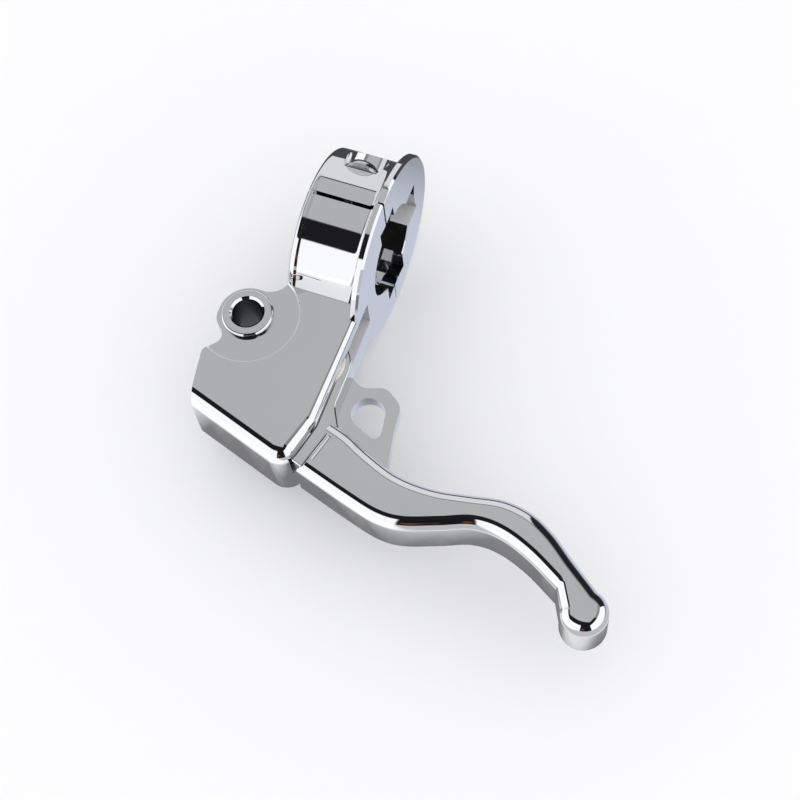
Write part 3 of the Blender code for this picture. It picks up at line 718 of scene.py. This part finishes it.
def nylon(name):
    mat, tree, shader = base_material(name, (0.80, 0.79, 0.73), 0.0, 0.42)
    two_tone(tree, shader, noise(tree, 250.0), (0.76, 0.75, 0.69), (0.83, 0.82, 0.77))
    tree.links.new(spread(tree, noise(tree, 700.0), 0.36, 0.5), shader.inputs["Roughness"])
    bump(tree, shader, noise(tree, 1500.0), 0.08, 0.0001)
    return mat


def bore_painted_shade():
    """The unplated inside of a bore, its metal painted very dark as shade for the hollow, with faint
    turning marks.
    """
    # the very dark colour is painted shade for the inside of the bar bore and mirror hole
    return steel("bore_painted_shade", (0.11, 0.105, 0.10), 0.32, (14, 14, 1))


def satin_slot():
    """Milled faces of the lever slot, left satin under thin plating."""
    mat, tree, shader = base_material("satin_slot", (0.78, 0.78, 0.79), 0.25, 0.45)
    fine = noise(tree, 700.0, 3.0, (12, 1, 1))
    tree.links.new(spread(tree, fine, 0.38, 0.52), shader.inputs["Roughness"])
    bump(tree, shader, fine, 0.05, 0.0001)
    return mat


def line_bores(obj, bore, slot):
    """Give the bar bore and mirror hole, and the roof and floor of the slot, their own materials."""
    obj.data.materials.append(bore)
    obj.data.materials.append(slot)
    for face in obj.data.polygons:
        centre = face.center / MM
        across = Vector((centre.x - MIRROR[0], centre.y - MIRROR[1])).length
        in_bar_bore = math.hypot(centre.y, centre.z) < BORE_R + 0.02 and abs(face.normal.x) < 0.5
        in_mirror_hole = across < MIRROR_HOLE_R + 0.02 and abs(face.normal.z) < 0.5
        # bar bore and mirror hole take the dark metal painted as shade
        if in_bar_bore or in_mirror_hole:
            face.material_index = 1
        elif SLOT_FLOOR - 0.05 < centre.z < SLOT_TOP + 0.05 and abs(face.normal.z) > 0.95:
            face.material_index = 2


def paint(obj, mat):
    obj.data.materials.clear()
    obj.data.materials.append(mat)


def hardware(node, mat, body, edge_round=0.12, sharp_deg=35.0):
    """A CAD node's own solid again, welded, with rounded edges, clean normals and a material."""
    source = frame["nodes"][node]
    mesh = source.data.copy()
    mesh.transform(source.matrix_world)
    piece = new_object(node + "_look", mesh, group=shown)
    paint(piece, mat)
    settle(piece, edge_round, sharp_deg)
    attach(piece, body)
    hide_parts(node)


# ---------------------------------------------------------------- floor, light and camera

def smooth(value, low, high):
    """0 below low, 1 above high, and an S curve between."""
    share = min(max((value - low) / (high - low), 0.0), 1.0)
    return share * share * (3 - 2 * share)


def plan_outline():
    """The front edge of blade and housing seen from above, closed along their rear."""
    points = smooth_run([ROOT_FRONT] + FRONT_EDGE, 2)
    points.append(Vector((BALL[0] + BALL_R, BALL[1])))
    points += [Vector(place) for place in REAR_EDGE[::2]]
    return points + [Vector(corner[:2]) for corner in HOUSING]


def gap_to(place, outline):
    """Distance in mm from a place on the floor to the nearest side of the outline."""
    gap = math.inf
    for start, end in zip(outline, outline[1:] + outline[:1]):
        near, share = geometry.intersect_point_line(place, start, end)
        near = start if share < 0 else end if share > 1 else near
        gap = min(gap, (place - near.to_2d()).length)
    return gap


def painted_floor_reflection(x, y, outline):
    """The painted reflection that the chrome sees of the floor at a place in mm: white, with a painted
    contact shadow close to the housing and blade, a painted lit patch ahead, cooler behind them and dark
    farther back."""
    gap = gap_to(Vector((x, y)), outline)
    # painted contact shadow near the outline, fading to plain white farther out
    paper = PAINTED_CONTACT_SHADOW.lerp(OPEN_SHADE, smooth(gap, *CONTACT))
    sheet = LIT_SHADE.lerp(DIM_SHADE, smooth(x, *LIT_END))
    front = paper.lerp(sheet, smooth(gap, *OPEN))
    rear = COOL_SHADE.lerp(DARK_SHADE, smooth(y, *FAR_REAR))
    return front.lerp(rear, smooth(y, *REAR))


def backdrop():
    """A pale floor just under the object, with painted shade and light that only reflections see, fine
    enough near it to carry them.
    """
    level = cad_bounds[0][2] - FLOOR_GAP * MM
    outline = plan_outline()
    outer = [300, 400, 600, 1200, FLOOR_REACH]
    fine = list(range(-FLOOR_FINE, FLOOR_FINE + 1, FLOOR_STEP))
    ticks = [-tick for tick in reversed(outer)] + fine + outer
    shape = bmesh.new()
    glow = shape.verts.layers.float_vector.new("glow")
    rows = []
    for y in ticks:
        row = []
        for x in ticks:
            vert = shape.verts.new((x * MM, y * MM, level))
            # each floor vertex carries its painted reflection colour: painted shadow near the object,
            # painted light ahead
            vert[glow] = painted_floor_reflection(x, y, outline)
            row.append(vert)
        rows.append(row)
    for low, high in zip(rows, rows[1:]):
        for i in range(len(ticks) - 1):
            shape.faces.new((low[i], low[i + 1], high[i + 1], high[i]))
    mesh = bpy.data.meshes.new("floor")
    shape.to_mesh(mesh)
    shape.free()
    floor = bpy.data.objects.new("floor", mesh)
    bpy.context.scene.collection.objects.link(floor)
    mat, tree, shader = base_material("floor_paper", (0.90, 0.90, 0.905), 0.0, 0.9)
    # mirrors see a glowing card in place of the floor, with a painted contact shadow and painted light that
    # follow the object's outline
    painted_reflection_card = shader_node(tree, "ShaderNodeEmission")
    shade = shader_node(tree, "ShaderNodeAttribute", attribute_name="glow")
    tree.links.new(shade.outputs["Vector"], painted_reflection_card.inputs["Color"])
    path = shader_node(tree, "ShaderNodeLightPath")
    mix = shader_node(tree, "ShaderNodeMixShader")
    tree.links.new(path.outputs["Is Glossy Ray"], mix.inputs["Fac"])
    tree.links.new(shader.outputs["BSDF"], mix.inputs[1])
    tree.links.new(painted_reflection_card.outputs["Emission"], mix.inputs[2])
    tree.links.new(mix.outputs["Shader"], tree.nodes["Material Output"].inputs["Surface"])
    paint(floor, mat)


class Sky:
    """Small helpers for the world's node tree."""

    def __init__(self, tree):
        self.tree = tree

    def math(self, operation, a, b=0.0):
        node = shader_node(self.tree, "ShaderNodeMath", operation=operation)
        for socket, value in zip(node.inputs, (a, b)):
            if isinstance(value, (int, float)):
                socket.default_value = value
            else:
                self.tree.links.new(value, socket)
        return node.outputs[0]

    def step(self, value, edge, soft):
        """0 below edge, 1 above it, smooth over soft each way."""
        node = shader_node(self.tree, "ShaderNodeMapRange", interpolation_type="SMOOTHSTEP")
        node.inputs["From Min"].default_value = edge - soft
        node.inputs["From Max"].default_value = edge + soft
        self.tree.links.new(value, node.inputs["Value"])
        return node.outputs["Result"]

    def band(self, value, low, high, soft):
        return self.math("SUBTRACT", self.step(value, low, soft), self.step(value, high, soft))

    def mix(self, factor, a, b):
        node = shader_node(self.tree, "ShaderNodeMix", data_type="RGBA")
        for key, value in (("Factor", factor), ("A", a), ("B", b)):
            if isinstance(value, tuple):
                node.inputs[key].default_value = (*value, 1.0)
            elif isinstance(value, (int, float)):
                node.inputs[key].default_value = value
            else:
                self.tree.links.new(value, node.inputs[key])
        return node.outputs["Result"]


def light_tent():
    """A tent of white walls and a grey ceiling with dark gaps between them, as chrome is shot.

    The reflections see the tent; the floor and plastics get an even white light.
    """
    world = bpy.data.worlds.new("tent")
    world.use_nodes = True
    bpy.context.scene.world = world
    tree = world.node_tree
    sky = Sky(tree)
    coords = shader_node(tree, "ShaderNodeTexCoord")
    split = shader_node(tree, "ShaderNodeSeparateXYZ")
    tree.links.new(coords.outputs["Generated"], split.inputs["Vector"])
    x, y, z = split.outputs
    up = sky.math("MAXIMUM", z, 0.001)
    x_slope = sky.math("DIVIDE", x, up)
    y_slope = sky.math("DIVIDE", y, up)
    # walls, by azimuth: white to the left, an open dark front on the right
    away = sky.math("MAXIMUM", sky.math("ABSOLUTE", y), 0.001)
    side = sky.math("DIVIDE", x, away)
    open_front = sky.band(side, 0.03, 0.95, 0.03)
    warm = sky.math("MULTIPLY", sky.band(side, 0.10, 0.32, 0.05), sky.band(z, 0.18, 0.34, 0.04))
    dark = sky.mix(warm, (0.012, 0.011, 0.012), (0.20, 0.075, 0.035))
    front_wall = sky.mix(open_front, (1.18, 1.18, 1.2), dark)
    rear_gap = sky.band(side, 0.12, 0.95, 0.02)
    rear_wall = sky.mix(sky.step(side, 0.95, 0.02), (0.82, 0.825, 0.84), (1.18, 1.18, 1.2))
    rear_wall = sky.mix(rear_gap, rear_wall, (0.02, 0.02, 0.022))
    walls = sky.mix(sky.step(y, 0.0, 0.1), front_wall, rear_wall)
    # dark gap round the ceiling, then the ceiling itself
    in_gap = sky.math("MULTIPLY", sky.band(y_slope, -1.1, 1.05, 0.04), sky.band(x_slope, -1.5, 0.85, 0.04))
    in_gap = sky.math("MULTIPLY", in_gap, sky.step(z, 0.02, 0.02))
    in_top = sky.math("MULTIPLY", sky.band(y_slope, -0.32, 0.80, 0.02), sky.band(x_slope, -1.0, 0.42, 0.02))
    in_top = sky.math("MULTIPLY", in_top, sky.step(z, 0.02, 0.02))
    gap = sky.mix(sky.step(y, 0.05, 0.05), (0.014, 0.013, 0.014), (0.30, 0.30, 0.31))
    tent = sky.mix(in_gap, walls, gap)
    tent = sky.mix(in_top, tent, (0.525, 0.53, 0.53))
    path = shader_node(tree, "ShaderNodeLightPath")
    seen = sky.mix(path.outputs["Is Camera Ray"], tent, (0.98, 0.985, 0.99))
    seen = sky.mix(path.outputs["Is Diffuse Ray"], seen, (1.12, 1.12, 1.13))
    tree.links.new(seen, tree.nodes["Background"].inputs["Color"])


def camera():
    data = bpy.data.cameras.new("camera")
    data.lens = LENS
    data.sensor_width = SENSOR
    data.clip_start = 0.01
    obj = bpy.data.objects.new("camera", data)
    right, up = Vector(CAMERA_RIGHT).normalized(), Vector(CAMERA_UP).normalized()
    turn = Matrix((right, up, right.cross(up))).transposed().to_4x4()
    obj.matrix_world = Matrix.Translation(CAMERA_PLACE) @ turn
    bpy.context.scene.collection.objects.link(obj)
    bpy.context.scene.camera = obj


def chrome_pieces():
    bore_shade_metal = bore_painted_shade()
    slot_metal = satin_slot()
    for make, node, slot, body in ((perch_body, "perch_body", "perch_chrome", "root"),
                                   (clamp_cap, "clamp_cap", "cap_chrome", "root"),
                                   (clutch_lever, "clutch_lever", "lever_chrome", "lever")):
        piece = make()
        paint(piece, chrome(slot))
        if node != "clutch_lever":
            line_bores(piece, bore_shade_metal, slot_metal)
        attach(piece, body)
        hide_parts(node)
    for tool in list(work.objects):
        bpy.data.objects.remove(tool)


def hardware_pieces():
    screw_steel = steel("screw_look", (0.66, 0.65, 0.64), 0.14, (1, 1, 1))
    washer_steel = steel("washer_look", (0.60, 0.60, 0.60), 0.25)
    white_nylon = nylon("nylon_look")
    for word in ("upper", "lower"):
        hardware(f"clamp_screw_{word}", screw_steel, "root")
        hardware(f"clamp_washer_{word}", washer_steel, "root")
        hardware(f"thrust_washer_{word}", white_nylon, "root", 0.06)
        hardware(f"anchor_sleeve_{word}", white_nylon, "lever")
    hardware("pivot_pin", steel("pin_look", (0.58, 0.58, 0.59), 0.2), "root")
    hardware("pivot_snap_ring", steel("snap_look", (0.2, 0.2, 0.21), 0.35), "root")
    hardware("pivot_bushing", steel("bronze_look", (0.60, 0.40, 0.19), 0.35), "lever")
    hardware("cable_anchor_pin", steel("brass_look", (0.72, 0.56, 0.26), 0.25), "anchor")


chrome_pieces()
hardware_pieces()
backdrop()
light_tent()
camera()
bpy.context.scene.view_settings.view_transform = "Standard"
